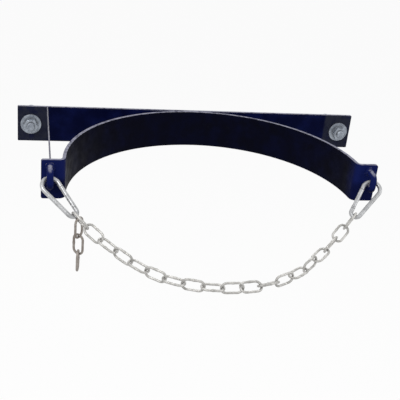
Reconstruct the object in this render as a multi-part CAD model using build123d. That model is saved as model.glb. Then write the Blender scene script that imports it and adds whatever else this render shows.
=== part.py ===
from build123d import *
import os
from math import asin, cos, degrees, radians, sin, sqrt

# Wall bracket for one upright gas cylinder: a flat wall bar on two sleeve anchors, a rolled
# saddle welded to its middle, a welded staple on each saddle tab, and a chain with a snap hook
# at each end. Millimetres. X runs along the bar, Y into the wall, Z up. The origin is the
# middle of the bar's back face, on the wall.

# ---------------------------------------------------------------- driving sizes
CYLINDER_D = 232.0          # gas cylinder that the bracket holds
BAR_LENGTH = 366.0
BAR_HEIGHT = 38.0
BAR_THICKNESS = 3.0
BAR_CORNER_R = 1.0
ANCHOR_EDGE = 13.5          # anchor centre to the bar's end

STRIP_HEIGHT = 38.0
STRIP_THICKNESS = 3.0
SADDLE_R = 138.0            # inside radius of the rolled strip
TAB_LEAD = 3.0              # the tab's front face, behind the centre of the rolled arc
TAB_BEND_R = 3.0            # inside radius of the bend to the tab
TAB_WIDTH = 15.8            # flat part of the tab
TAB_CORNER_R = 2.0
WELD_LENGTH = 32.0
WELD_R = 6.5
WELD_OFFSET = 27.0          # weld centre from the middle of the bar

STAPLE_D = 6.0
STAPLE_INNER_DEPTH = 10.0   # tab face to the inside of the staple's front leg
STAPLE_INNER_HEIGHT = 9.0
STAPLE_BEND_R = 2.0         # inside radius
STAPLE_Z = 4.5
STAPLE_WELD_D = 9.5
STAPLE_WELD_HEIGHT = 1.6

STUD_D = 8.0
STUD_EMBEDMENT = 42.0
STUD_PROTRUSION = 2.6       # stud end in front of the nut
STUD_CONE_D = 9.6
STUD_CONE_LENGTH = 9.0
STUD_CONE_LAND = 1.0        # straight end behind the cone
SLEEVE_D = 10.0
SLEEVE_LENGTH = 30.0
SLEEVE_SLOT = 1.2
WASHER_D = 21.0
WASHER_THICKNESS = 1.6
NUT_ACROSS_FLATS = 13.0
NUT_HEIGHT = 6.5
NUT_CHAMFER = 0.7
BOLT_CLEARANCE = 0.25       # radial, stud in washer and sleeve in bar
THREAD_CLEARANCE = 0.05     # radial, stud in nut and sleeve

LINK_WIRE = 2.2
LINK_INNER_LENGTH = 17.1
LINK_WIDTH = 12.0           # outside
LINK_GAP = 0.3              # between the wires of two linked pieces
SPARE_TURNS = (0.0, 90.0, 30.0)    # turn of each spare link that hangs past the left hook
SPARE_SHIFT = 3.0           # seat of the first spare link, from the bend of the link it is in
SPARE_GAP = 0.9             # room for its tilt there
LINK_TURNS = {1: 72.0, 2: 60.0, 3: 70.0, 4: 85.0, 11: 62.0, 12: 60.0, 13: 61.0, 17: 65.0, 18: 80.0}
QUARTER_TURN = 90.0         # turn of every other link from the one before it
LAST_TURN = 105.0           # turn of the last link from the right hook
SLACK_RATIO = 1.085         # length of the draped chain and hooks over the straight way round

HOOK_LENGTH = 46.0          # outside
HOOK_WIRE = 4.0
HOOK_WIDE = 20.0            # outside width at the large end
HOOK_NARROW = 13.0          # outside width at the small end
HOOK_ROLL = -73.0           # degrees, turn of the hook's plane about its length
NOSE_LENGTH = 4.0           # straight wire past the large bend
HINGE_INSET = 5.0           # hinge pin from the small bend
GATE_SLOT = 2.1
TONGUE_THICKNESS = 1.8
TONGUE_LENGTH = 2.8         # at the nose
GATE_GAP = 0.4
GATE_PIN_D = 1.6
GATE_PIN_HEAD = 0.3         # pin length past each side of the gate
PIN_CLEARANCE = 0.05
SPRING_THICKNESS = 0.5
SPRING_LENGTH = 5.0

DRAPE_STANDOFF = 5.5        # cylinder wall to the middle of the chain
DRAPE_POWER = 2.9           # how squarely the chain hangs: steep at its ends, flat in front

NAVY = (0.05, 0.08, 0.25)
ZINC = (0.78, 0.79, 0.80)

# ---------------------------------------------------------------- places worked out from them
BAR_FRONT = -BAR_THICKNESS
ANCHOR_X = BAR_LENGTH / 2 - ANCHOR_EDGE
SADDLE_Y = BAR_FRONT - STRIP_THICKNESS - SADDLE_R
STRIP_MID_R = SADDLE_R + STRIP_THICKNESS / 2
BEND_MID_R = TAB_BEND_R + STRIP_THICKNESS / 2
TAB_FRONT = SADDLE_Y + TAB_LEAD
TAB_MID = TAB_FRONT + STRIP_THICKNESS / 2
BEND_Y = TAB_MID + BEND_MID_R
BEND_X = sqrt((STRIP_MID_R + BEND_MID_R) ** 2 - (BEND_Y - SADDLE_Y) ** 2)
TAB_END = BEND_X + TAB_WIDTH
STAPLE_X = BEND_X + TAB_WIDTH / 2
STAPLE_FRONT = TAB_FRONT - STAPLE_INNER_DEPTH - STAPLE_D / 2

CYLINDER_Y = BAR_FRONT - STRIP_THICKNESS - CYLINDER_D / 2
DRAPE_R = CYLINDER_D / 2 + DRAPE_STANDOFF
LINK_PITCH = LINK_INNER_LENGTH - LINK_GAP
LINK_BEND_R = (LINK_WIDTH - LINK_WIRE) / 2
LINK_STRAIGHT = LINK_INNER_LENGTH + LINK_WIRE - 2 * LINK_BEND_R
HOOK_REACH = HOOK_LENGTH - 1.5 * HOOK_WIRE - LINK_GAP / 2
HOOK_SEAT = (HOOK_WIRE + STAPLE_D) / 2 + LINK_GAP
WIDE_R = (HOOK_WIDE - HOOK_WIRE) / 2
NARROW_R = (HOOK_NARROW - HOOK_WIRE) / 2


# ---------------------------------------------------------------- small helpers
def rod_along(path, diameter):
    """A round rod swept along a path."""
    start = Plane(origin=path @ 0, z_dir=path % 0)
    return sweep(start * Circle(diameter / 2), path=path)


def along_y(x, y, z=0.0):
    """A plane at a point, facing into the wall."""
    return Plane(origin=(x, y, z), x_dir=(1, 0, 0), z_dir=(0, 1, 0))


def mirrored(shape):
    """The same piece on the other side of the bracket."""
    return mirror(shape, about=Plane.YZ)


def save(shape, name, colour):
    """One named sub-part."""
    shape.label = name
    shape.color = Color(*colour)
    export_step(shape, f"parts/{name}.step")
    return shape


# ---------------------------------------------------------------- bracket
def wall_bar():
    """Flat bar with one anchor hole near each end."""
    bar = Pos(0, BAR_FRONT / 2, 0) * Box(BAR_LENGTH, BAR_THICKNESS, BAR_HEIGHT)
    bar = fillet(bar.edges().filter_by(Axis.Y), BAR_CORNER_R)
    hole_r = SLEEVE_D / 2 + BOLT_CLEARANCE
    for x in (-ANCHOR_X, ANCHOR_X):
        bar -= along_y(x, BAR_FRONT) * extrude(Circle(hole_r), amount=BAR_THICKNESS)
    return bar


def strip_path():
    """Middle line of the saddle strip in plan, from the left tab's end to the right one's."""
    bend = Vector(-BEND_X, BEND_Y)
    centre = Vector(0, SADDLE_Y)
    join = centre + (bend - centre).normalized() * STRIP_MID_R
    halfway = bend + ((join - bend).normalized() + Vector(0, -1)).normalized() * BEND_MID_R
    left = Line((-TAB_END, TAB_MID), (-BEND_X, TAB_MID))
    left_bend = ThreePointArc((-BEND_X, TAB_MID), halfway, join)
    arc = ThreePointArc(join, (0, SADDLE_Y + STRIP_MID_R), (-join.X, join.Y))
    right_bend = ThreePointArc((-join.X, join.Y), (-halfway.X, halfway.Y), (BEND_X, TAB_MID))
    right = Line((BEND_X, TAB_MID), (TAB_END, TAB_MID))
    return Wire([left, left_bend, arc, right_bend, right])


def saddle():
    """One strip, rolled to a half round and bent out to a flat tab at each end."""
    path = strip_path()
    section = Plane(origin=path @ 0, x_dir=(0, 0, 1), z_dir=path % 0)
    strip = sweep(section * Rectangle(STRIP_HEIGHT, STRIP_THICKNESS), path=path)
    ends = strip.edges().filter_by(Axis.Y)
    return fillet(ends, TAB_CORNER_R)


def weld_bead():
    """Bead in the wedge between the bar and the back of the saddle, on the left."""
    bead = Pos(-WELD_OFFSET, BAR_FRONT) * Circle(WELD_R)
    in_front = Pos(-WELD_OFFSET, BAR_FRONT - WELD_R) * Rectangle(4 * WELD_R, 2 * WELD_R)
    rolled = Pos(0, SADDLE_Y) * Circle(SADDLE_R + STRIP_THICKNESS)
    section = (bead & in_front) - rolled
    return Pos(0, 0, -WELD_LENGTH / 2) * extrude(section, amount=WELD_LENGTH)


def eye_staple():
    """Round staple standing on the left tab in an upright plane, with its two weld collars."""
    arm = STAPLE_INNER_HEIGHT / 2 + STAPLE_D / 2
    top, bottom = STAPLE_Z + arm, STAPLE_Z - arm
    path = FilletPolyline(
        (-STAPLE_X, TAB_FRONT, top),
        (-STAPLE_X, STAPLE_FRONT, top),
        (-STAPLE_X, STAPLE_FRONT, bottom),
        (-STAPLE_X, TAB_FRONT, bottom),
        radius=STAPLE_BEND_R + STAPLE_D / 2,
    )
    staple = rod_along(path, STAPLE_D)
    for z in (top, bottom):
        foot = Plane(origin=(-STAPLE_X, TAB_FRONT, z), z_dir=(0, -1, 0))
        collar = Cone(
            STAPLE_WELD_D / 2,
            STAPLE_D / 2,
            STAPLE_WELD_HEIGHT,
            align=(Align.CENTER, Align.CENTER, Align.MIN),
        )
        staple += foot * collar
    return staple


# ---------------------------------------------------------------- anchors
def anchor_stud():
    """Threaded stud with its expansion cone at the far end in the wall."""
    front = BAR_FRONT - WASHER_THICKNESS - NUT_HEIGHT - STUD_PROTRUSION
    cone_start = STUD_EMBEDMENT - STUD_CONE_LENGTH
    outline = Polyline(
        (0, front),
        (STUD_D / 2 - NUT_CHAMFER, front),
        (STUD_D / 2, front + NUT_CHAMFER),
        (STUD_D / 2, cone_start),
        (STUD_CONE_D / 2, STUD_EMBEDMENT - STUD_CONE_LAND),
        (STUD_CONE_D / 2, STUD_EMBEDMENT),
        (0, STUD_EMBEDMENT),
        close=True,
    )
    return Pos(-ANCHOR_X, 0, 0) * revolve(make_face(outline), Axis.Y)


def anchor_sleeve():
    """Slotted expansion sleeve round the stud, inside the wall."""
    length = SLEEVE_LENGTH
    tube = along_y(-ANCHOR_X, 0) * extrude(
        Circle(SLEEVE_D / 2) - Circle(STUD_D / 2 + THREAD_CLEARANCE), amount=length
    )
    for turn in (0, 90):
        slot = Rot(0, turn, 0) * Box(SLEEVE_SLOT, length, 2 * SLEEVE_D)
        tube -= Pos(-ANCHOR_X, length, 0) * slot
    return tube


def anchor_washer():
    """Plain washer in front of the bar."""
    ring = Circle(WASHER_D / 2) - Circle(STUD_D / 2 + BOLT_CLEARANCE)
    return along_y(-ANCHOR_X, BAR_FRONT - WASHER_THICKNESS) * extrude(ring, WASHER_THICKNESS)


def anchor_nut():
    """Hexagon nut with chamfered corners."""
    circumscribed = NUT_ACROSS_FLATS / sqrt(3)
    front = BAR_FRONT - WASHER_THICKNESS - NUT_HEIGHT
    hexagon = RegularPolygon(circumscribed, 6) - Circle(STUD_D / 2 + THREAD_CLEARANCE)
    blank = along_y(-ANCHOR_X, front) * extrude(hexagon, NUT_HEIGHT)
    outline = Polyline(
        (0, front),
        (circumscribed - 2 * NUT_CHAMFER, front),
        (circumscribed, front + NUT_CHAMFER),
        (circumscribed, front + NUT_HEIGHT),
        (0, front + NUT_HEIGHT),
        close=True,
    )
    return blank & (Pos(-ANCHOR_X, 0, 0) * revolve(make_face(outline), Axis.Y))


# ---------------------------------------------------------------- how the chain hangs
def free_stretch():
    """Plan of the left free stretch: its start in the staple, its direction and its length."""
    staple = Vector(-STAPLE_X, STAPLE_FRONT)
    to_axis = Vector(0, CYLINDER_Y) - staple
    opening = degrees(asin(DRAPE_R / to_axis.length))
    direction = to_axis.normalized().rotate(Axis.Z, -opening)
    length = sqrt(to_axis.length**2 - DRAPE_R**2) + HOOK_SEAT
    return staple - direction * HOOK_SEAT, direction, length


def plan_length():
    """Length in plan from one staple round the cylinder's front to the other."""
    _, direction, free = free_stretch()
    return 2 * free + 2 * asin(-direction.Y) * DRAPE_R


def drape_point(s, sag):
    """Point of the chain's middle line at plan distance s from the left staple."""
    whole = plan_length()
    start, direction, free = free_stretch()
    axis = Vector(0, CYLINDER_Y)
    t = min(s, whole - s)
    if t <= free:
        spot = start + direction * t
    else:
        touch = start + direction * free - axis
        spot = axis + touch.rotate(Axis.Z, degrees((t - free) / DRAPE_R))
    side = 1 if s <= whole / 2 else -1
    drop = sag * (1 - abs(2 * s / whole - 1) ** DRAPE_POWER)
    return Vector(side * spot.X, spot.Y, STAPLE_Z - drop)


def step_along(s, chord, sag):
    """Plan distance of the next point that lies one chord from the point at s."""
    here = drape_point(s, sag)
    low, high = s, s + chord
    for _ in range(40):
        middle = (low + high) / 2
        if (drape_point(middle, sag) - here).length < chord:
            low = middle
        else:
            high = middle
    return high


def linked_places(count, sag):
    """Plan distance of each place where two pieces are linked, from the left hook onwards."""
    places = [step_along(0.0, HOOK_REACH, sag)]
    for _ in range(count):
        places.append(step_along(places[-1], LINK_PITCH, sag))
    return places


def hang_chain():
    """Points of the hanging chain: both hooks' large ends, and each place of linking between.

    The sag is the one at which the links and the hooks just reach from staple to staple.
    """
    whole = plan_length()
    count = round((whole * SLACK_RATIO - 2 * HOOK_REACH) / LINK_PITCH)
    end = drape_point(whole, 0.0)
    low, high = 0.0, whole / 2
    for _ in range(40):
        sag = (low + high) / 2
        last = linked_places(count, sag)[-1]
        if last < whole and (end - drape_point(last, sag)).length > HOOK_REACH:
            high = sag
        else:
            low = sag
    linked = [drape_point(s, sag) for s in linked_places(count, sag)]
    return [drape_point(0.0, sag), *linked, end]


def rolled_plane(origin, direction, roll):
    """Plane whose x runs along a piece, its y at a roll from upright towards the outside."""
    along = direction.normalized()
    up = (Vector(0, 0, 1) - along * along.Z).normalized()
    outward = up.cross(along)
    if outward.dot(origin - Vector(0, CYLINDER_Y, origin.Z)) < 0:
        outward = -outward
    across = up * cos(radians(roll)) + outward * sin(radians(roll))
    return Plane(origin=origin, x_dir=along, z_dir=along.cross(across))


def link_rolls(count):
    """Roll of each link, which turns from the piece before it.

    What the last link would turn too far or too little for the right hook is shared out.
    """
    turns = [LINK_TURNS.get(number, QUARTER_TURN) for number in range(1, count + 1)]
    last = HOOK_ROLL + 180 - sum(turns)
    astray = (last - HOOK_ROLL - LAST_TURN) % 180
    roll = HOOK_ROLL + 180
    rolls = []
    for turn in turns:
        roll -= turn + astray / count
        rolls.append(roll)
    return rolls


def link_planes(points):
    """Plane of each link of the chain, at its middle."""
    linked = points[1:-1]
    planes = []
    for start, finish, roll in zip(linked, linked[1:], link_rolls(len(linked) - 1)):
        planes.append(rolled_plane((start + finish) / 2, finish - start, roll))
    return planes


def spare_planes(first_link):
    """Planes of the spare links, which hang straight down from the first link's lower side."""
    along, across = first_link.x_dir, first_link.y_dir
    carrier = first_link.origin - along * (LINK_STRAIGHT / 2 - SPARE_SHIFT) - across * LINK_BEND_R
    down = Vector(0, 0, -1)
    top = carrier - down * (LINK_WIRE + SPARE_GAP)
    planes = []
    for i, turn in enumerate(SPARE_TURNS):
        middle = top + down * ((LINK_INNER_LENGTH + LINK_WIRE) / 2 + i * LINK_PITCH)
        flat = down.cross(along).normalized().rotate(Axis.Z, turn)
        planes.append(Plane(origin=middle, x_dir=down, z_dir=down.cross(flat)))
    return planes


# ---------------------------------------------------------------- chain
def chain_link():
    """One welded link, flat in XY with its length along X."""
    half, r = LINK_STRAIGHT / 2, LINK_BEND_R
    path = Wire(
        [
            Line((-half, -r), (half, -r)),
            ThreePointArc((half, -r), (half + r, 0), (half, r)),
            Line((half, r), (-half, r)),
            ThreePointArc((-half, r), (-half - r, 0), (-half, -r)),
        ]
    )
    return rod_along(path, LINK_WIRE)


# ---------------------------------------------------------------- snap hook
def hook_line():
    """Named points of the hook's middle line, with its large end at zero and its length on X."""
    small_x = HOOK_LENGTH - HOOK_WIRE - NARROW_R
    slope = asin((WIDE_R - NARROW_R) / (small_x - WIDE_R))
    out = Vector(sin(slope), cos(slope))
    large = Vector(WIDE_R, 0) + out * WIDE_R
    small = Vector(small_x, 0) + out * NARROW_R
    along = (small - large).normalized()
    return {
        "large": large,
        "small": small,
        "small_x": small_x,
        "nose": large + along * NOSE_LENGTH,
        "hinge": small - along * HINGE_INSET,
        "along": along,
    }


def gate_plane():
    """Plane at the gate's hinge, x towards the nose and z across the hook."""
    line = hook_line()
    return Plane(origin=line["hinge"], x_dir=-line["along"], z_dir=(0, 0, 1))


def gate_span():
    """Distance from the gate's hinge to where the nose has its full section."""
    line = hook_line()
    return (line["nose"] - line["hinge"]).length


def slab(start, end, width, thickness):
    """Block in the gate's plane, from one place to another along it."""
    return Pos((start + end) / 2, 0, 0) * Box(end - start, width, thickness)


def beside_tongue(start, end):
    """What is pressed away on both sides of a tongue in the gate's plane."""
    whole = slab(start, end, 2 * HOOK_WIRE, 2 * HOOK_WIRE)
    return whole - slab(start, end, 2 * HOOK_WIRE, TONGUE_THICKNESS)


def rounded_end(side):
    """What is cut away to round the wire about the hinge, beyond it on one side."""
    r = HOOK_WIRE / 2
    block = Pos(side * r, 0, 0) * Box(2 * r, 2 * HOOK_WIRE, 2 * HOOK_WIRE)
    return block - Cylinder(r, 2 * HOOK_WIRE)


def hook_body():
    """Bent wire of the snap hook, pressed to a tongue at the nose and at the hinge."""
    line = hook_line()
    large, small, along = line["large"], line["small"], line["along"]
    nose_end = line["nose"] + along * TONGUE_LENGTH
    foot = line["hinge"] - along * (HOOK_WIRE / 2)
    path = Wire(
        [
            Line(nose_end, large),
            ThreePointArc(large, (0, 0), (large.X, -large.Y)),
            Line((large.X, -large.Y), (small.X, -small.Y)),
            ThreePointArc((small.X, -small.Y), (line["small_x"] + NARROW_R, 0), small),
            Line(small, foot),
        ]
    )
    body = rod_along(path, HOOK_WIRE)
    span = gate_span()
    cuts = beside_tongue(span - TONGUE_LENGTH - GATE_GAP, span)
    cuts += beside_tongue(-HOOK_WIRE / 2 - GATE_GAP, HOOK_WIRE)
    cuts += rounded_end(1)
    cuts += Cylinder(GATE_PIN_D / 2 + PIN_CLEARANCE, 2 * HOOK_WIRE)
    return body - gate_plane() * cuts


def hook_gate():
    """Gate of the snap hook: a rod forked at the hinge and slotted over the nose."""
    span = gate_span()
    start, end = -HOOK_WIRE / 2, span - GATE_GAP
    fork = HOOK_WIRE / 2 + GATE_GAP + SPRING_LENGTH
    gate = Pos((start + end) / 2, 0, 0) * Rot(0, 90, 0) * Cylinder(HOOK_WIRE / 2, end - start)
    gate -= slab(start - GATE_GAP, fork, 2 * HOOK_WIRE, GATE_SLOT)
    gate -= slab(span - TONGUE_LENGTH - GATE_GAP, span, 2 * HOOK_WIRE, GATE_SLOT)
    gate -= rounded_end(-1)
    gate -= Cylinder(GATE_PIN_D / 2 + PIN_CLEARANCE, 2 * HOOK_WIRE)
    return gate_plane() * gate


def gate_pin():
    """Pin through the gate's fork and the tongue in it."""
    return gate_plane() * Cylinder(GATE_PIN_D / 2, HOOK_WIRE + 2 * GATE_PIN_HEAD)


def gate_spring():
    """Leaf spring in the root of the gate's fork."""
    end = HOOK_WIRE / 2 + GATE_GAP + SPRING_LENGTH
    leaf = slab(end - SPRING_LENGTH, end, SPRING_THICKNESS, TONGUE_THICKNESS)
    return gate_plane() * Pos(0, HOOK_WIRE / 4, 0) * leaf


HOOK_PIECES = {
    "hook_body": hook_body,
    "hook_gate": hook_gate,
    "gate_pin": gate_pin,
    "gate_spring": gate_spring,
}


# ---------------------------------------------------------------- the whole bracket
def hook_planes(points):
    """Plane of the left hook and of the right one, each with x towards the chain."""
    left = rolled_plane(points[0], points[1] - points[0], HOOK_ROLL)
    right = rolled_plane(points[-1], points[-2] - points[-1], HOOK_ROLL)
    return left, right


def main():
    os.makedirs("parts", exist_ok=True)
    save(wall_bar(), "wall_bar", NAVY)
    save(saddle(), "saddle", NAVY)
    pairs = {
        "weld_bead": (weld_bead, NAVY),
        "eye_staple": (eye_staple, NAVY),
        "anchor_stud": (anchor_stud, ZINC),
        "anchor_sleeve": (anchor_sleeve, ZINC),
        "anchor_washer": (anchor_washer, ZINC),
        "anchor_nut": (anchor_nut, ZINC),
    }
    for name, (build, colour) in pairs.items():
        left = build()
        save(left, f"{name}_left", colour)
        save(mirrored(left), f"{name}_right", colour)

    points = hang_chain()
    left_hook, right_hook = hook_planes(points)
    for name, build in HOOK_PIECES.items():
        piece = build()
        save(left_hook * piece, f"{name}_left", ZINC)
        save(right_hook * piece, f"{name}_right", ZINC)

    link = chain_link()
    links = link_planes(points)
    for number, place in enumerate(links, start=1):
        save(place * link, f"chain_link_{number:02d}", ZINC)
    for number, place in enumerate(spare_planes(links[0]), start=1):
        save(place * link, f"spare_link_{number}", ZINC)


main()
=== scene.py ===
"""Looks of a wall bracket for one upright gas cylinder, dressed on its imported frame."""

import logging
from abc import ABC, abstractmethod
from dataclasses import dataclass, field
from enum import Enum
from math import cos, exp, pi, radians, sin, sqrt, tau

import bmesh
import bpy
import numpy as np
from mathutils import Matrix, Vector


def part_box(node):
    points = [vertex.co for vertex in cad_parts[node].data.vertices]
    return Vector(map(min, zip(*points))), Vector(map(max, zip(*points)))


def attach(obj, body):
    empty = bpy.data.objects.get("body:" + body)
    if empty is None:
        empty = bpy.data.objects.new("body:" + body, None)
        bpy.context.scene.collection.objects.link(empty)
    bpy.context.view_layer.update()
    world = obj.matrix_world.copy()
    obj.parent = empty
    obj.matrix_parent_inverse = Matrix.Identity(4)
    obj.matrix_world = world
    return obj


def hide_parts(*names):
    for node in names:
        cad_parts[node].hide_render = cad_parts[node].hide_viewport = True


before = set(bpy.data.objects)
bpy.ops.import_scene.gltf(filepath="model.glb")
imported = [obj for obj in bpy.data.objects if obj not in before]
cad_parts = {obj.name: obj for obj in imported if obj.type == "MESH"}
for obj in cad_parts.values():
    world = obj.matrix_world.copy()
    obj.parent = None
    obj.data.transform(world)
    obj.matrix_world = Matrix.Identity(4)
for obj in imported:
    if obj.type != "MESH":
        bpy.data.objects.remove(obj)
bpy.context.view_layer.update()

LOG = logging.getLogger("gas_cylinder_bracket")
MM = 0.001

Triple = tuple[float, float, float]
Colour = Triple
Socket = bpy.types.NodeSocket


class Side(Enum):
    """The two ends of the bracket, as the sign of their X."""

    LEFT = -1
    RIGHT = 1

    @property
    def label(self) -> str:
        """The word that ends this side's node names."""
        return self.name.lower()


class RayKind(Enum):
    """Rays that see the pale surroundings as plain white."""

    CAMERA = "Is Camera Ray"
    GLOSSY = "Is Glossy Ray"
    TRANSMISSION = "Is Transmission Ray"


# ---------------------------------------------------------------- shader graphs
class ShaderGraph:
    """A material's or the world's node tree, with short calls for the nodes used here."""

    def __init__(self, tree: bpy.types.NodeTree) -> None:
        """Empties a tree and keeps it.

        Args:
            tree: the node tree of a material or of the world.
        """
        self.tree = tree
        self.tree.nodes.clear()

    def node(self, kind: str, **settings: object) -> bpy.types.Node:
        """Adds a node and sets its properties.

        Args:
            kind: the node's type name.
            settings: properties of the node, by name.

        Returns:
            The new node.
        """
        made = self.tree.nodes.new(kind)
        for name, value in settings.items():
            setattr(made, name, value)
        return made

    def feed(self, target: Socket, source: object) -> None:
        """Links a socket to a source, or sets it where the source is a plain value.

        Args:
            target: the socket that takes the value.
            source: an output socket, a number, or a colour.
        """
        if isinstance(source, Socket):
            self.tree.links.new(source, target)
        elif isinstance(source, tuple) and target.type == "RGBA":
            target.default_value = (*source[:3], 1.0)
        else:
            target.default_value = source

    def math(self, operation: str, first: object, second: object = 0.0) -> Socket:
        """One sum or product of two values.

        Args:
            operation: the Math node's operation.
            first: the first value or socket.
            second: the second value or socket.

        Returns:
            The result's socket.
        """
        made = self.node("ShaderNodeMath", operation=operation)
        self.feed(made.inputs[0], first)
        self.feed(made.inputs[1], second)
        return made.outputs[0]

    def step(
        self, value: object, low: float, high: float, start: float = 0.0, end: float = 1.0
    ) -> Socket:
        """A smooth step of a value between two marks.

        Args:
            value: the value or socket.
            low: where the step starts.
            high: where it ends.
            start: the result below the step.
            end: the result above it.

        Returns:
            The result's socket.
        """
        made = self.node("ShaderNodeMapRange", interpolation_type="SMOOTHSTEP")
        for index, source in enumerate((value, low, high, start, end)):
            self.feed(made.inputs[index], source)
        return made.outputs[0]

    def mix(self, share: object, first: object, second: object) -> Socket:
        """A blend of two colours.

        Args:
            share: how much of the second colour shows.
            first: the first colour or socket.
            second: the second colour or socket.

        Returns:
            The blended colour's socket.
        """
        made = self.node("ShaderNodeMix", data_type="RGBA")
        self.feed(made.inputs["Factor"], share)
        self.feed(made.inputs[6], first)
        self.feed(made.inputs[7], second)
        return made.outputs[2]

    def place(self, stretch: Triple = (1.0, 1.0, 1.0), turn: Triple = (0.0, 0.0, 0.0)) -> Socket:
        """The surface point in metres in the bracket's frame, stretched and turned.

        Args:
            stretch: scale along each axis.
            turn: rotation about each axis, in degrees.

        Returns:
            The point's socket.
        """
        spot = self.node("ShaderNodeTexCoord").outputs["Object"]
        mapping = self.node("ShaderNodeMapping")
        self.feed(mapping.inputs["Vector"], spot)
        mapping.inputs["Rotation"].default_value = tuple(radians(angle) for angle in turn)
        mapping.inputs["Scale"].default_value = stretch
        return mapping.outputs["Vector"]

    def noise(self, point: object, grain_mm: float, detail: float = 3.0) -> Socket:
        """Soft noise with grains of one size.

        Args:
            point: the point's socket.
            grain_mm: size of a grain in millimetres.
            detail: how many finer layers lie on it.

        Returns:
            The noise's value, from 0 to 1 with 0.5 in the middle.
        """
        made = self.node("ShaderNodeTexNoise")
        self.feed(made.inputs["Vector"], point)
        made.inputs["Scale"].default_value = 1.0 / (grain_mm * MM)
        made.inputs["Detail"].default_value = detail
        return made.outputs[0]

    def cells(self, point: object, grain_mm: float) -> Socket:
        """A random value for each crystal-like cell.

        Args:
            point: the point's socket.
            grain_mm: size of a cell in millimetres.

        Returns:
            The cell's value, from 0 to 1.
        """
        made = self.node("ShaderNodeTexVoronoi")
        self.feed(made.inputs["Vector"], point)
        made.inputs["Scale"].default_value = 1.0 / (grain_mm * MM)
        grey = self.node("ShaderNodeSeparateColor")
        self.feed(grey.inputs[0], made.outputs["Color"])
        return grey.outputs[0]

    def corner(self, radius_mm: float) -> tuple[Socket, Socket]:
        """The normal of a surface whose sharp edges are rounded, and where those edges are.

        Args:
            radius_mm: radius of the rounded edge in millimetres.

        Returns:
            The rounded normal, and a mask that is 1 on an edge.
        """
        rounded = self.node("ShaderNodeBevel", samples=6)
        rounded.inputs["Radius"].default_value = radius_mm * MM
        flat = self.node("ShaderNodeNewGeometry").outputs["Normal"]
        facing = self.node("ShaderNodeVectorMath", operation="DOT_PRODUCT")
        self.feed(facing.inputs[0], rounded.outputs[0])
        self.feed(facing.inputs[1], flat)
        return rounded.outputs[0], self.step(facing.outputs["Value"], 0.999, 0.90)

    def upward(self) -> Socket:
        """How much a surface faces up, from -1 to 1."""
        normal = self.node("ShaderNodeNewGeometry").outputs["Normal"]
        split = self.node("ShaderNodeSeparateXYZ")
        self.feed(split.inputs[0], normal)
        return split.outputs["Z"]

    def hollow(self, reach_mm: float) -> Socket:
        """How open a spot is: 1 in the open, less where pieces meet.

        Args:
            reach_mm: how far a neighbour counts, in millimetres.

        Returns:
            The openness's socket.
        """
        made = self.node("ShaderNodeAmbientOcclusion", samples=8)
        made.inputs["Distance"].default_value = reach_mm * MM
        return made.outputs["AO"]

    def bump(
        self, height: object, depth_mm: float, strength: float, normal: Socket | None = None
    ) -> Socket:
        """Fine relief.

        Args:
            height: the height's socket, from 0 to 1.
            depth_mm: what a height of 1 stands for, in millimetres.
            strength: how much of it shows.
            normal: the normal's socket that the relief lies on.

        Returns:
            The new normal's socket.
        """
        made = self.node("ShaderNodeBump")
        made.inputs["Strength"].default_value = strength
        made.inputs["Distance"].default_value = depth_mm * MM
        self.feed(made.inputs["Height"], height)
        if normal is not None:
            self.feed(made.inputs["Normal"], normal)
        return made.outputs[0]

    def surface(self, **sockets: object) -> None:
        """Ends the tree in a principled surface.

        Args:
            sockets: the surface's sockets, with _ for each space in their names.
        """
        shader = self.node("ShaderNodeBsdfPrincipled")
        for name, source in sockets.items():
            self.feed(shader.inputs[name.replace("_", " ")], source)
        output = self.node("ShaderNodeOutputMaterial")
        self.feed(output.inputs["Surface"], shader.outputs[0])


# ---------------------------------------------------------------- finishes
class Finish(ABC):
    """A finish of this bracket: one material, made once."""

    name: str

    def material(self) -> bpy.types.Material:
        """The finish's material, made at its first use."""
        found = bpy.data.materials.get(self.name)
        if found is None:
            found = bpy.data.materials.new(self.name)
            found.use_nodes = True
            self.paint(ShaderGraph(found.node_tree))
        return found

    @abstractmethod
    def paint(self, graph: ShaderGraph) -> None:
        """Builds the finish's nodes in an empty tree."""


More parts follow.
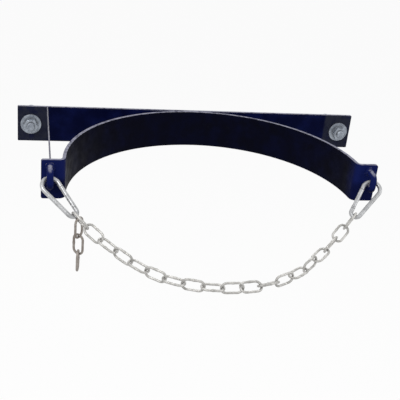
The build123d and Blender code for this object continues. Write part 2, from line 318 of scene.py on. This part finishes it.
@dataclass(frozen=True)
class NavyCoat(Finish):
    """Powder coat on flat bar and wire, with dust and a painted highlight on top, rubbed through at
    its edges.
    """

    name: str = "navy_powder_coat"
    deep: Colour = (0.0014, 0.0024, 0.0190)
    thin: Colour = (0.0032, 0.0054, 0.0400)
    # Brighter blue, painted on the upper half of each tab as light.
    lit_tab_blue: Colour = (0.0060, 0.0110, 0.0800)
    # Near black, painted inside the saddle as the shadow of the cylinder it holds.
    cylinder_shadow: Colour = (0.0018, 0.0019, 0.0060)
    # Greyer tone of the bar's drilled ends.
    end_grey: Colour = (0.0180, 0.0200, 0.0330)
    # Pale colour of dust and scratches, also used as a painted highlight on upward faces.
    dust_and_highlight: Colour = (0.25, 0.25, 0.31)
    primer: Colour = (0.22, 0.22, 0.26)
    edge_radius_mm: float = 0.7
    wear: float = 0.6
    end_grey_start: float = 151.0 * MM
    tab_bend: float = -134.0 * MM
    saddle_y: float = -144.0 * MM
    saddle_r: float = 138.0 * MM

    def zones(self, graph: ShaderGraph, point: Socket) -> tuple[Socket, Socket, Socket]:
        """Where the coat differs: greyer bar ends, painted light and painted shadow.

        Args:
            graph: the tree that they go in.
            point: the point's socket.

        Returns:
            Masks of the bar's greyer drilled ends, of each tab's painted-lit upper half and of the
            saddle's painted-shadow inside.
        """
        split = graph.node("ShaderNodeSeparateXYZ")
        graph.feed(split.inputs[0], point)
        x, y, z = split.outputs
        outward = graph.math("ABSOLUTE", x)
        near_wall = graph.step(y, -20.0 * MM, -12.0 * MM)
        outer = graph.step(outward, self.end_grey_start, self.end_grey_start + 3.0 * MM)
        ends = graph.math("MULTIPLY", outer, near_wall)
        # Upper half of each tab: where the painted light goes.
        front = graph.step(y, self.tab_bend, self.tab_bend - 6.0 * MM)
        lit_tab_tops = graph.math("MULTIPLY", front, graph.step(z, -4.0 * MM, 3.0 * MM))
        # The saddle's inside: where the painted shadow goes.
        flat = graph.node("ShaderNodeCombineXYZ")
        graph.feed(flat.inputs[0], x)
        graph.feed(flat.inputs[1], graph.math("SUBTRACT", y, self.saddle_y))
        reach = graph.node("ShaderNodeVectorMath", operation="LENGTH")
        graph.feed(reach.inputs[0], flat.outputs[0])
        skin = (self.saddle_r + 1.2 * MM, self.saddle_r + 0.4 * MM)
        inner_face = graph.step(reach.outputs["Value"], *skin)
        behind = graph.step(y, self.tab_bend - 3.0 * MM, self.tab_bend + 14.0 * MM)
        return ends, lit_tab_tops, graph.math("MULTIPLY", inner_face, behind)

    def paint(self, graph: ShaderGraph) -> None:
        """Builds the coat: mottled blue, painted light and shadow, dust, worn edges, fine scratches
        and orange peel.
        """
        point = graph.place()
        rounded, edge = graph.corner(self.edge_radius_mm)
        mottle = graph.step(graph.noise(point, 22.0, 4.0), 0.35, 0.68)
        blue = graph.mix(mottle, self.deep, self.thin)
        ends, lit_tab_tops, inside = self.zones(graph, point)
        # Painted light: the upper half of each tab is painted a brighter blue.
        blue = graph.mix(graph.math("MULTIPLY", lit_tab_tops, 0.8), blue, self.lit_tab_blue)
        # Painted shadow: the saddle's inside is painted near black and mottled, as the held
        # cylinder's shadow.
        shadow_mottle = graph.step(graph.noise(point, 14.0, 5.0), 0.25, 0.70, 0.75, 1.0)
        blue = graph.mix(graph.math("MULTIPLY", inside, shadow_mottle), blue, self.cylinder_shadow)
        # The bar's drilled ends are painted greyer in patches.
        end_grey_patches = graph.step(graph.noise(point, 6.0, 4.0), 0.30, 0.60, 0.45, 1.0)
        blue = graph.mix(graph.math("MULTIPLY", ends, end_grey_patches), blue, self.end_grey)

        streaks = graph.noise(graph.place((1.0, 1.0, 14.0), (0.0, 38.0, 0.0)), 5.0, 2.0)
        scratches = graph.step(streaks, 0.70, 0.76)
        patches = graph.step(graph.noise(point, 16.0, 2.0), 0.56, 0.70)
        scratched = graph.math("MULTIPLY", scratches, graph.math("MULTIPLY", patches, 0.14))
        blue = graph.mix(scratched, blue, self.dust_and_highlight)

        # Dust on upward faces; the same pale colour there is also a painted highlight on the top
        # edges.
        settled_dust_and_highlight = graph.math("MULTIPLY", graph.step(graph.upward(), 0.60, 0.98), 0.85)
        flecks = graph.step(graph.noise(point, 3.5, 5.0), 0.20, 0.60)
        dust_and_highlight_share = graph.math("MULTIPLY", settled_dust_and_highlight, flecks)
        blue = graph.mix(dust_and_highlight_share, blue, self.dust_and_highlight)

        chips = graph.step(graph.noise(point, 2.4, 6.0), 0.47, 0.60)
        worn = graph.math("MULTIPLY", edge, graph.math("MULTIPLY", chips, self.wear))
        colour = graph.mix(worn, blue, self.primer)

        roughness = graph.step(graph.noise(point, 7.0, 4.0), 0.25, 0.75, 0.42, 0.58)
        peel = graph.noise(point, 0.9, 2.0)
        relief = graph.bump(peel, 0.06, 0.35, rounded)
        graph.surface(
            Base_Color=colour,
            Roughness=roughness,
            Specular_IOR_Level=0.02,
            Normal=relief,
        )


@dataclass(frozen=True)
class ZincPlate(Finish):
    """Zinc on steel, from bright plating to a dull galvanised coat."""

    name: str
    bright: Colour
    dull: Colour
    # Colour of the grime specks and of the painted shade where pieces meet.
    grime_and_shade: Colour = (0.10, 0.09, 0.08)
    spangle_mm: float = 1.6
    smooth: float = 0.28
    rough: float = 0.46
    # How strongly the grime specks and the painted shade show.
    grime_and_shade_strength: float = 0.55
    edge_radius_mm: float = 0.25
    metallic: float = 0.55

    def paint(self, graph: ShaderGraph) -> None:
        """Builds the plating: spangle, dull patches, painted shade where pieces meet, grime specks
        and fine pits.
        """
        point = graph.place()
        rounded, edge = graph.corner(self.edge_radius_mm)
        spangle = graph.cells(point, self.spangle_mm)
        patches = graph.noise(point, 6.0, 5.0)
        spangled = graph.math("MULTIPLY", spangle, 0.35)
        share = graph.math("ADD", spangled, graph.step(patches, 0.3, 0.7, 0.0, 0.65))
        metal = graph.mix(share, self.bright, self.dull)

        # Painted shade: darker where pieces meet, from ambient occlusion; the specks below are
        # grime.
        crevice_shade = graph.step(graph.hollow(3.0), 0.85, 0.35)
        specks = graph.step(graph.noise(point, 1.3, 5.0), 0.60, 0.74, 0.0, 0.45)
        grime_and_shade_share = graph.math("MULTIPLY", graph.math("MAXIMUM", crevice_shade, specks), self.grime_and_shade_strength)
        colour = graph.mix(grime_and_shade_share, metal, self.grime_and_shade)
        polished = graph.math("MULTIPLY", edge, 0.4)
        colour = graph.mix(polished, colour, self.bright)

        roughness = graph.step(share, 0.0, 1.0, self.smooth, self.rough)
        pits = graph.noise(point, 0.45, 3.0)
        graph.surface(
            Base_Color=colour,
            Metallic=graph.step(grime_and_shade_share, 0.2, 0.9, self.metallic, 0.25),
            Roughness=roughness,
            Normal=graph.bump(pits, 0.04, 0.4, rounded),
        )


@dataclass(frozen=True)
class SpringSteel(Finish):
    """Bare rolled spring strip, with lines along its length."""

    name: str = "rolled_spring_steel"
    bright: Colour = (0.50, 0.50, 0.51)
    dark: Colour = (0.30, 0.30, 0.31)

    def paint(self, graph: ShaderGraph) -> None:
        """Builds the strip's rolled lines."""
        lines = graph.noise(graph.place((1.0, 1.0, 12.0)), 1.0, 4.0)
        graph.surface(
            Base_Color=graph.mix(lines, self.dark, self.bright),
            Metallic=1.0,
            Roughness=graph.step(lines, 0.3, 0.7, 0.28, 0.42),
            Normal=graph.bump(lines, 0.03, 0.3),
        )


NAVY = NavyCoat()
CHAIN_ZINC = ZincPlate(
    "galvanised_chain",
    bright=(0.56, 0.55, 0.53),
    dull=(0.29, 0.285, 0.27),
    grime_and_shade_strength=0.45,
    metallic=0.45,
)
# Spare links: a darker, browner copy of the chain's zinc; the darkness is painted shade, the brown
# tint their own.
SPARE_ZINC = ZincPlate(
    "tarnished_chain",
    bright=(0.36, 0.33, 0.30),
    dull=(0.22, 0.19, 0.17),
    smooth=0.42,
    rough=0.62,
    grime_and_shade_strength=0.8,
)
HOOK_ZINC = ZincPlate(
    "bright_zinc_hook",
    bright=(0.52, 0.525, 0.535),
    dull=(0.28, 0.285, 0.29),
    smooth=0.20,
    rough=0.36,
    grime_and_shade_strength=0.4,
)
ANCHOR_ZINC = ZincPlate(
    "dull_zinc_anchor",
    bright=(0.38, 0.42, 0.47),
    dull=(0.18, 0.20, 0.24),
    smooth=0.30,
    rough=0.50,
    grime_and_shade_strength=0.7,
)
WIRE_ZINC = ZincPlate(
    "dull_tie_wire",
    bright=(0.17, 0.17, 0.21),
    dull=(0.09, 0.09, 0.12),
    spangle_mm=0.8,
)
SPRING = SpringSteel()


# ---------------------------------------------------------------- meshes
def dress(node: str, finish: Finish) -> None:
    """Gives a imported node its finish.

    Args:
        node: the node's name.
        finish: the finish that it shows.
    """
    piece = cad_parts[node]
    piece.data.materials.clear()
    piece.data.materials.append(finish.material())
    LOG.info("dressed %s in %s", node, finish.name)


def new_piece(
    name: str, points: list[Vector | Triple], faces: list[tuple[int, ...]], finish: Finish
) -> bpy.types.Object:
    """Makes a mesh object in the bracket's frame.

    Args:
        name: the piece's name.
        points: its points, in metres.
        faces: its faces, as tuples of point numbers.
        finish: the finish that it shows.

    Returns:
        The new object, shaded smooth, with all its faces turned outwards.
    """
    mesh = bpy.data.meshes.new(name)
    mesh.from_pydata([tuple(point) for point in points], [], faces)
    shell = bmesh.new()
    shell.from_mesh(mesh)
    bmesh.ops.recalc_face_normals(shell, faces=shell.faces)
    shell.to_mesh(mesh)
    shell.free()
    mesh.polygons.foreach_set("use_smooth", [True] * len(mesh.polygons))
    mesh.materials.append(finish.material())
    mesh.update()
    piece = bpy.data.objects.new(name, mesh)
    bpy.context.scene.collection.objects.link(piece)
    return piece


def ring_faces(rings: int, around: int, closed: bool) -> list[tuple[int, ...]]:
    """Faces between rings of points.

    Args:
        rings: how many rings there are.
        around: how many points a ring has.
        closed: whether the last ring joins the first.

    Returns:
        The quads, and where the rings don't close, an end cap at each end.
    """
    faces: list[tuple[int, ...]] = []
    for ring in range(rings if closed else rings - 1):
        here, after = ring * around, (ring + 1) % rings * around
        for spot in range(around):
            beside = (spot + 1) % around
            faces.append((here + spot, here + beside, after + beside, after + spot))
    if not closed:
        faces.append(tuple(reversed(range(around))))
        faces.append(tuple((rings - 1) * around + spot for spot in range(around)))
    return faces


def principal_place(node: str) -> Matrix:
    """Where a packed link lies: its middle, with X along its length and Y across its loop.

    Args:
        node: the link's node.

    Returns:
        The place as a matrix, with Y turned to the upper side.
    """
    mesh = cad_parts[node].data
    points = np.zeros(len(mesh.vertices) * 3)
    mesh.vertices.foreach_get("co", points)
    points = points.reshape(-1, 3)
    centred = points - points.mean(axis=0)
    _, axes = np.linalg.eigh(centred.T @ centred)
    along, across = Vector(axes[:, 2]), Vector(axes[:, 1])
    if along.x < 0:
        along = -along
    if across.z < 0:
        across = -across
    spread = centred @ axes
    middle = points.mean(axis=0) + axes @ ((spread.max(axis=0) + spread.min(axis=0)) / 2)
    place = Matrix((along, across, along.cross(across))).transposed().to_4x4()
    place.translation = Vector(middle)
    return place


# ---------------------------------------------------------------- sub-assemblies
@dataclass
class WallBracket:
    """The coated steelwork: bar, rolled saddle, weld beads and eye staples, and the tie wire."""

    body: str = "bracket"
    bar_front: float = -3.0 * MM
    saddle_outer_r: float = 141.0 * MM
    bead_x: float = 27.0 * MM
    bead_r: float = 6.5 * MM
    bead_half_length: float = 16.0 * MM
    ripple_pitch: float = 2.2 * MM
    ripple_depth: float = 0.45 * MM
    bead_rings: int = 120
    bead_spots: int = 36
    strip_thickness: float = 3.0 * MM
    wire_r: float = 0.75 * MM
    wire_slant: float = 1.2 * MM
    wire_spots: int = 16

    def build(self) -> None:
        """Dresses the steelwork and lays the rippled weld beads and the tie wire."""
        dress("wall_bar", NAVY)
        dress("saddle", NAVY)
        for side in Side:
            dress(f"eye_staple_{side.label}", NAVY)
            self.weld_bead(side)
        self.tie_wire()

    def bead_reach(self, angle: float, swell: float) -> float:
        """How far the bead reaches from its middle on the bar before it meets the saddle.

        Args:
            angle: the direction in plan, from X, towards the saddle below zero.
            swell: how far the ripple stands out here.

        Returns:
            The reach in metres.
        """
        middle = Vector((-self.bead_x, self.saddle_outer_r))
        ray = Vector((cos(angle), sin(angle)))
        along = middle.dot(ray)
        inside = along * along - middle.length_squared + self.saddle_outer_r**2
        free = self.bead_r + swell
        if inside <= 0:
            return free
        return min(free, -along - sqrt(inside))

    def weld_bead(self, side: Side) -> None:
        """Lays one bead in the wedge between the bar and the saddle.

        Args:
            side: the end of the bracket that it lies towards.
        """
        points = []
        for ring in range(self.bead_rings):
            z = self.bead_half_length * (2 * ring / (self.bead_rings - 1) - 1)
            ripple = abs(sin(pi * z / self.ripple_pitch))
            rounding = sqrt(max(0.0, 1 - (z / self.bead_half_length) ** 8))
            swell = (ripple - 1) * self.ripple_depth
            for spot in range(self.bead_spots):
                angle = -pi * (spot + 0.5) / self.bead_spots
                reach = self.bead_reach(angle, swell) * (0.5 + 0.5 * rounding)
                x = -self.bead_x + reach * cos(angle)
                points.append((-side.value * x, self.bar_front + reach * sin(angle), z))
        name = f"weld_ripples_{side.label}"
        bead = new_piece(name, points, ring_faces(self.bead_rings, self.bead_spots, False), NAVY)
        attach(bead, self.body)
        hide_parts(f"weld_bead_{side.label}")
        LOG.info("laid %s", name)

    def tie_wire(self) -> None:
        """Lays the thin wire between the bar and the left tab, level with their top edges."""
        bar_low, bar_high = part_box("wall_bar")
        staple_low, staple_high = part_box("eye_staple_left")
        middle, z = (staple_low.x + staple_high.x) / 2, bar_high.z - self.wire_r
        ends = (
            (middle - self.wire_slant, bar_low.y),
            (middle, staple_high.y + self.strip_thickness),
        )
        points = []
        for x, y in ends:
            for spot in range(self.wire_spots):
                angle = tau * spot / self.wire_spots
                points.append((x + self.wire_r * cos(angle), y, z + self.wire_r * sin(angle)))
        faces = ring_faces(len(ends), self.wire_spots, False)
        wire = new_piece("tie_wire", points, faces, WIRE_ZINC)
        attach(wire, self.body)
        LOG.info("laid the tie wire")


@dataclass
class SleeveAnchor:
    """One sleeve anchor: threaded stud, nut, washer and the sleeve in the wall."""

    side: Side
    body: str = "bracket"
    shank_r: float = 4.0 * MM
    thread_pitch: float = 1.25 * MM
    thread_depth: float = 0.68 * MM
    crest_width: float = 1.35
    threaded_length: float = 30.0 * MM
    cone_length: float = 9.0 * MM
    chamfer: float = 0.7 * MM
    tip_land: float = 1.0 * MM
    around: int = 48
    steps_per_turn: int = 8

    def build(self) -> None:
        """Dresses the anchor and threads its stud."""
        for piece in ("sleeve", "washer", "nut"):
            dress(f"anchor_{piece}_{self.side.label}", ANCHOR_ZINC)
        self.threaded_stud()

    def stud_radius(self, y: float, angle: float, ends: tuple[float, float], cone: float) -> float:
        """Radius of the stud's surface at a place along it.

        Args:
            y: the place along the stud.
            angle: the direction round it.
            ends: its front end and its far end.
            cone: radius of the cone's wide end.

        Returns:
            The radius in metres.
        """
        front, far = ends
        if y > far - self.cone_length:
            share = min(1.0, (y - far + self.cone_length) / (self.cone_length - self.tip_land))
            return self.shank_r + (cone - self.shank_r) * share
        from_front = y - front
        if from_front > self.threaded_length:
            return self.shank_r
        turns = y / self.thread_pitch - angle / tau
        flank = abs(2 * (turns % 1.0) - 1)
        crest = min(1.0, self.crest_width * flank)
        cut = self.thread_depth * (1 - crest)
        return min(self.shank_r - cut, self.shank_r - self.chamfer + from_front)

    def threaded_stud(self) -> None:
        """Makes the stud with its helical thread, in place of the plain one."""
        node = f"anchor_stud_{self.side.label}"
        low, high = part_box(node)
        axis_x, axis_z = (low.x + high.x) / 2, (low.z + high.z) / 2
        cone = (high.x - low.x) / 2
        front, far = low.y, high.y
        steps = round(self.threaded_length / self.thread_pitch * self.steps_per_turn)
        places = [front + self.threaded_length * step / steps for step in range(steps + 1)]
        places += [far - self.cone_length, far - self.tip_land, far]
        points = []
        for y in places:
            for spot in range(self.around):
                angle = tau * spot / self.around
                radius = self.stud_radius(y, angle, (front, far), cone)
                points.append((axis_x + radius * cos(angle), y, axis_z - radius * sin(angle)))
        faces = ring_faces(len(places), self.around, False)
        stud = new_piece(f"threaded_stud_{self.side.label}", points, faces, ANCHOR_ZINC)
        for cap in (len(faces) - 2, len(faces) - 1):
            stud.data.polygons[cap].use_smooth = False
        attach(stud, self.body)
        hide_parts(node)
        LOG.info("threaded %s", node)


@dataclass
class SnapHook:
    """One snap hook: bent wire body, gate, its pin and its leaf spring."""

    side: Side

    def build(self) -> None:
        """Dresses the hook's pieces."""
        for piece in ("hook_body", "hook_gate", "gate_pin"):
            dress(f"{piece}_{self.side.label}", HOOK_ZINC)
        dress(f"gate_spring_{self.side.label}", SPRING)


@dataclass
class ChainLinks:
    """Welded links: those of the chain and the spare ones that hang from it."""

    wire_r: float = 1.1 * MM
    bend_r: float = 4.9 * MM
    half_straight: float = 4.75 * MM
    weld_swell: float = 0.22 * MM
    weld_half_width: float = 1.5 * MM
    along_bend: int = 22
    along_side: int = 28
    around: int = 20
    linked: int = 19
    spare: int = 3
    loop: list[tuple[Vector, Vector, float]] = field(default_factory=list)

    def build(self) -> None:
        """Makes every link where its plain one lies."""
        self.loop = self.trace()
        for number in range(1, self.linked + 1):
            self.link(f"chain_link_{number:02d}", f"link_{number:02d}", CHAIN_ZINC)
        for number in range(1, self.spare + 1):
            self.link(f"spare_link_{number}", f"spare_{number}", SPARE_ZINC)

    def trace(self) -> list[tuple[Vector, Vector, float]]:
        """The link's middle line, as points with the outward direction and the wire's radius.

        Returns:
            The points in order round the loop.
        """
        line = []
        for step in range(self.along_side):
            x = self.half_straight * (1 - 2 * step / self.along_side)
            swell = self.weld_swell * exp(-2 * (x / self.weld_half_width) ** 2)
            line.append((Vector((x, self.bend_r, 0)), Vector((0, 1, 0)), self.wire_r + swell))
        for step in range(self.along_bend):
            angle = pi / 2 + pi * step / self.along_bend
            out = Vector((cos(angle), sin(angle), 0))
            line.append((Vector((-self.half_straight, 0, 0)) + out * self.bend_r, out, self.wire_r))
        for step in range(self.along_side):
            x = self.half_straight * (2 * step / self.along_side - 1)
            line.append((Vector((x, -self.bend_r, 0)), Vector((0, -1, 0)), self.wire_r))
        for step in range(self.along_bend):
            angle = -pi / 2 + pi * step / self.along_bend
            out = Vector((cos(angle), sin(angle), 0))
            line.append((Vector((self.half_straight, 0, 0)) + out * self.bend_r, out, self.wire_r))
        return line

    def link(self, node: str, body: str, finish: Finish) -> None:
        """Makes one link in place of its plain one.

        Args:
            node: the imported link.
            body: the body that it rides on.
            finish: the finish that it shows.
        """
        place = principal_place(node)
        points = []
        for middle, out, radius in self.loop:
            for spot in range(self.around):
                angle = tau * spot / self.around
                offset = out * (radius * cos(angle)) + Vector((0, 0, radius * sin(angle)))
                points.append(place @ (middle + offset))
        faces = ring_faces(len(self.loop), self.around, True)
        piece = new_piece(node.replace("link", "welded_link"), points, faces, finish)
        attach(piece, body)
        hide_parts(node)
        LOG.info("made %s", piece.name)


# ---------------------------------------------------------------- studio
@dataclass(frozen=True)
class Lamp:
    """A soft box that shines at the bracket."""

    name: str
    spot: Triple
    width: float
    power: float
    tint: Colour = (1.0, 1.0, 1.0)


@dataclass
class Studio:
    """Pale floor, white surroundings, soft lamps and the camera."""

    eye: Triple = (-0.1630, -0.7933, 0.3019)
    yaw: float = 12.99
    pitch: float = 25.65
    roll: float = 6.09
    lens: float = 71.0
    sensor: float = 36.0
    near_clip: float = 0.02
    floor_z: float = -1.10
    floor_half: float = 9.0
    floor_colour: Colour = (0.80, 0.80, 0.80)
    floor_white: float = 0.85
    ceiling_light: float = 0.95
    ground_light: float = 0.30
    aim: Triple = (0.0, -0.12, 0.0)
    lamps: tuple[Lamp, ...] = (
        Lamp("key_softbox", (-0.9, -1.3, 1.5), 1.1, 15.0),
        Lamp("fill_softbox", (1.4, -0.9, 0.7), 0.9, 4.0),
        Lamp("back_softbox", (0.2, 1.2, 1.3), 1.0, 8.0),
    )

    def build(self) -> None:
        """Sets up everything round the bracket."""
        scene = bpy.context.scene
        scene.view_settings.view_transform = "Standard"
        self.surroundings(scene)
        self.floor(scene)
        for lamp in self.lamps:
            self.light(scene, lamp)
        self.camera(scene)

    def white_share(self, graph: ShaderGraph) -> Socket:
        """A factor that is 1 for the rays that see plain white.

        Args:
            graph: the tree that it goes in.

        Returns:
            The factor's socket.
        """
        rays = graph.node("ShaderNodeLightPath").outputs
        seen = graph.math("MAXIMUM", rays[RayKind.CAMERA.value], rays[RayKind.GLOSSY.value])
        return graph.math("MAXIMUM", seen, rays[RayKind.TRANSMISSION.value])

    def surroundings(self, scene: bpy.types.Scene) -> None:
        """Makes the world: white to look at, brighter from above than from below as light.

        Args:
            scene: the scene that it surrounds.
        """
        world = bpy.data.worlds.new("pale_surroundings")
        world.use_nodes = True
        scene.world = world
        graph = ShaderGraph(world.node_tree)
        direction = graph.node("ShaderNodeTexCoord").outputs["Generated"]
        split = graph.node("ShaderNodeSeparateXYZ")
        graph.feed(split.inputs[0], direction)
        level = graph.step(split.outputs["Z"], -0.6, 0.8, self.ground_light, self.ceiling_light)
        soft = graph.node("ShaderNodeBackground")
        graph.feed(soft.inputs["Strength"], level)
        white = graph.node("ShaderNodeBackground")
        white.inputs["Color"].default_value = (1.0, 1.0, 1.0, 1.0)
        soft.inputs["Color"].default_value = (1.0, 1.0, 1.0, 1.0)
        blend = graph.node("ShaderNodeMixShader")
        graph.feed(blend.inputs[0], self.white_share(graph))
        graph.feed(blend.inputs[1], soft.outputs[0])
        graph.feed(blend.inputs[2], white.outputs[0])
        output = graph.node("ShaderNodeOutputWorld")
        graph.feed(output.inputs["Surface"], blend.outputs[0])

    def floor(self, scene: bpy.types.Scene) -> None:
        """Lays the floor, well below where the bracket hangs on its wall.

        Args:
            scene: the scene that it lies in.
        """
        half = self.floor_half
        mesh = bpy.data.meshes.new("pale_floor")
        corners = [(-half, -half), (half, -half), (half, half), (-half, half)]
        mesh.from_pydata([(x, y, self.floor_z) for x, y in corners], [], [(0, 1, 2, 3)])
        floor = bpy.data.objects.new("pale_floor", mesh)
        scene.collection.objects.link(floor)
        paint = bpy.data.materials.new("pale_floor_paint")
        paint.use_nodes = True
        graph = ShaderGraph(paint.node_tree)
        matt = graph.node("ShaderNodeBsdfDiffuse")
        matt.inputs["Color"].default_value = (*self.floor_colour, 1.0)
        white = graph.node("ShaderNodeEmission")
        blend = graph.node("ShaderNodeMixShader")
        share = graph.math("MULTIPLY", self.white_share(graph), self.floor_white)
        graph.feed(blend.inputs[0], share)
        graph.feed(blend.inputs[1], matt.outputs[0])
        graph.feed(blend.inputs[2], white.outputs[0])
        output = graph.node("ShaderNodeOutputMaterial")
        graph.feed(output.inputs["Surface"], blend.outputs[0])
        mesh.materials.append(paint)

    def light(self, scene: bpy.types.Scene, lamp: Lamp) -> None:
        """Hangs one soft box, aimed at the middle of the bracket.

        Args:
            scene: the scene that it lights.
            lamp: its place, size and power.
        """
        data = bpy.data.lights.new(lamp.name, "AREA")
        data.shape = "SQUARE"
        data.size = lamp.width
        data.energy = lamp.power
        data.color = lamp.tint
        box = bpy.data.objects.new(lamp.name, data)
        scene.collection.objects.link(box)
        box.location = lamp.spot
        towards = Vector(self.aim) - Vector(lamp.spot)
        box.rotation_euler = towards.to_track_quat("-Z", "Y").to_euler()

    def camera(self, scene: bpy.types.Scene) -> None:
        """Sets the camera at its eye point, turned by yaw, pitch and roll.

        Args:
            scene: the scene that it looks at.
        """
        data = bpy.data.cameras.new("bracket_camera")
        data.sensor_width = self.sensor
        data.lens = self.lens
        data.clip_start = self.near_clip
        camera = bpy.data.objects.new("bracket_camera", data)
        scene.collection.objects.link(camera)
        turn = (
            Matrix.Rotation(radians(-self.yaw), 4, "Z")
            @ Matrix.Rotation(radians(90 - self.pitch), 4, "X")
            @ Matrix.Rotation(radians(self.roll), 4, "Z")
        )
        camera.matrix_world = Matrix.Translation(self.eye) @ turn
        scene.camera = camera


def main() -> None:
    """Builds every sub-assembly in order, then the studio."""
    logging.basicConfig(level=logging.INFO, format="%(name)s: %(message)s")
    WallBracket().build()
    for side in Side:
        SleeveAnchor(side).build()
        SnapHook(side).build()
    ChainLinks().build()
    Studio().build()
    bpy.context.view_layer.update()


if __name__ == "__main__":
    main()
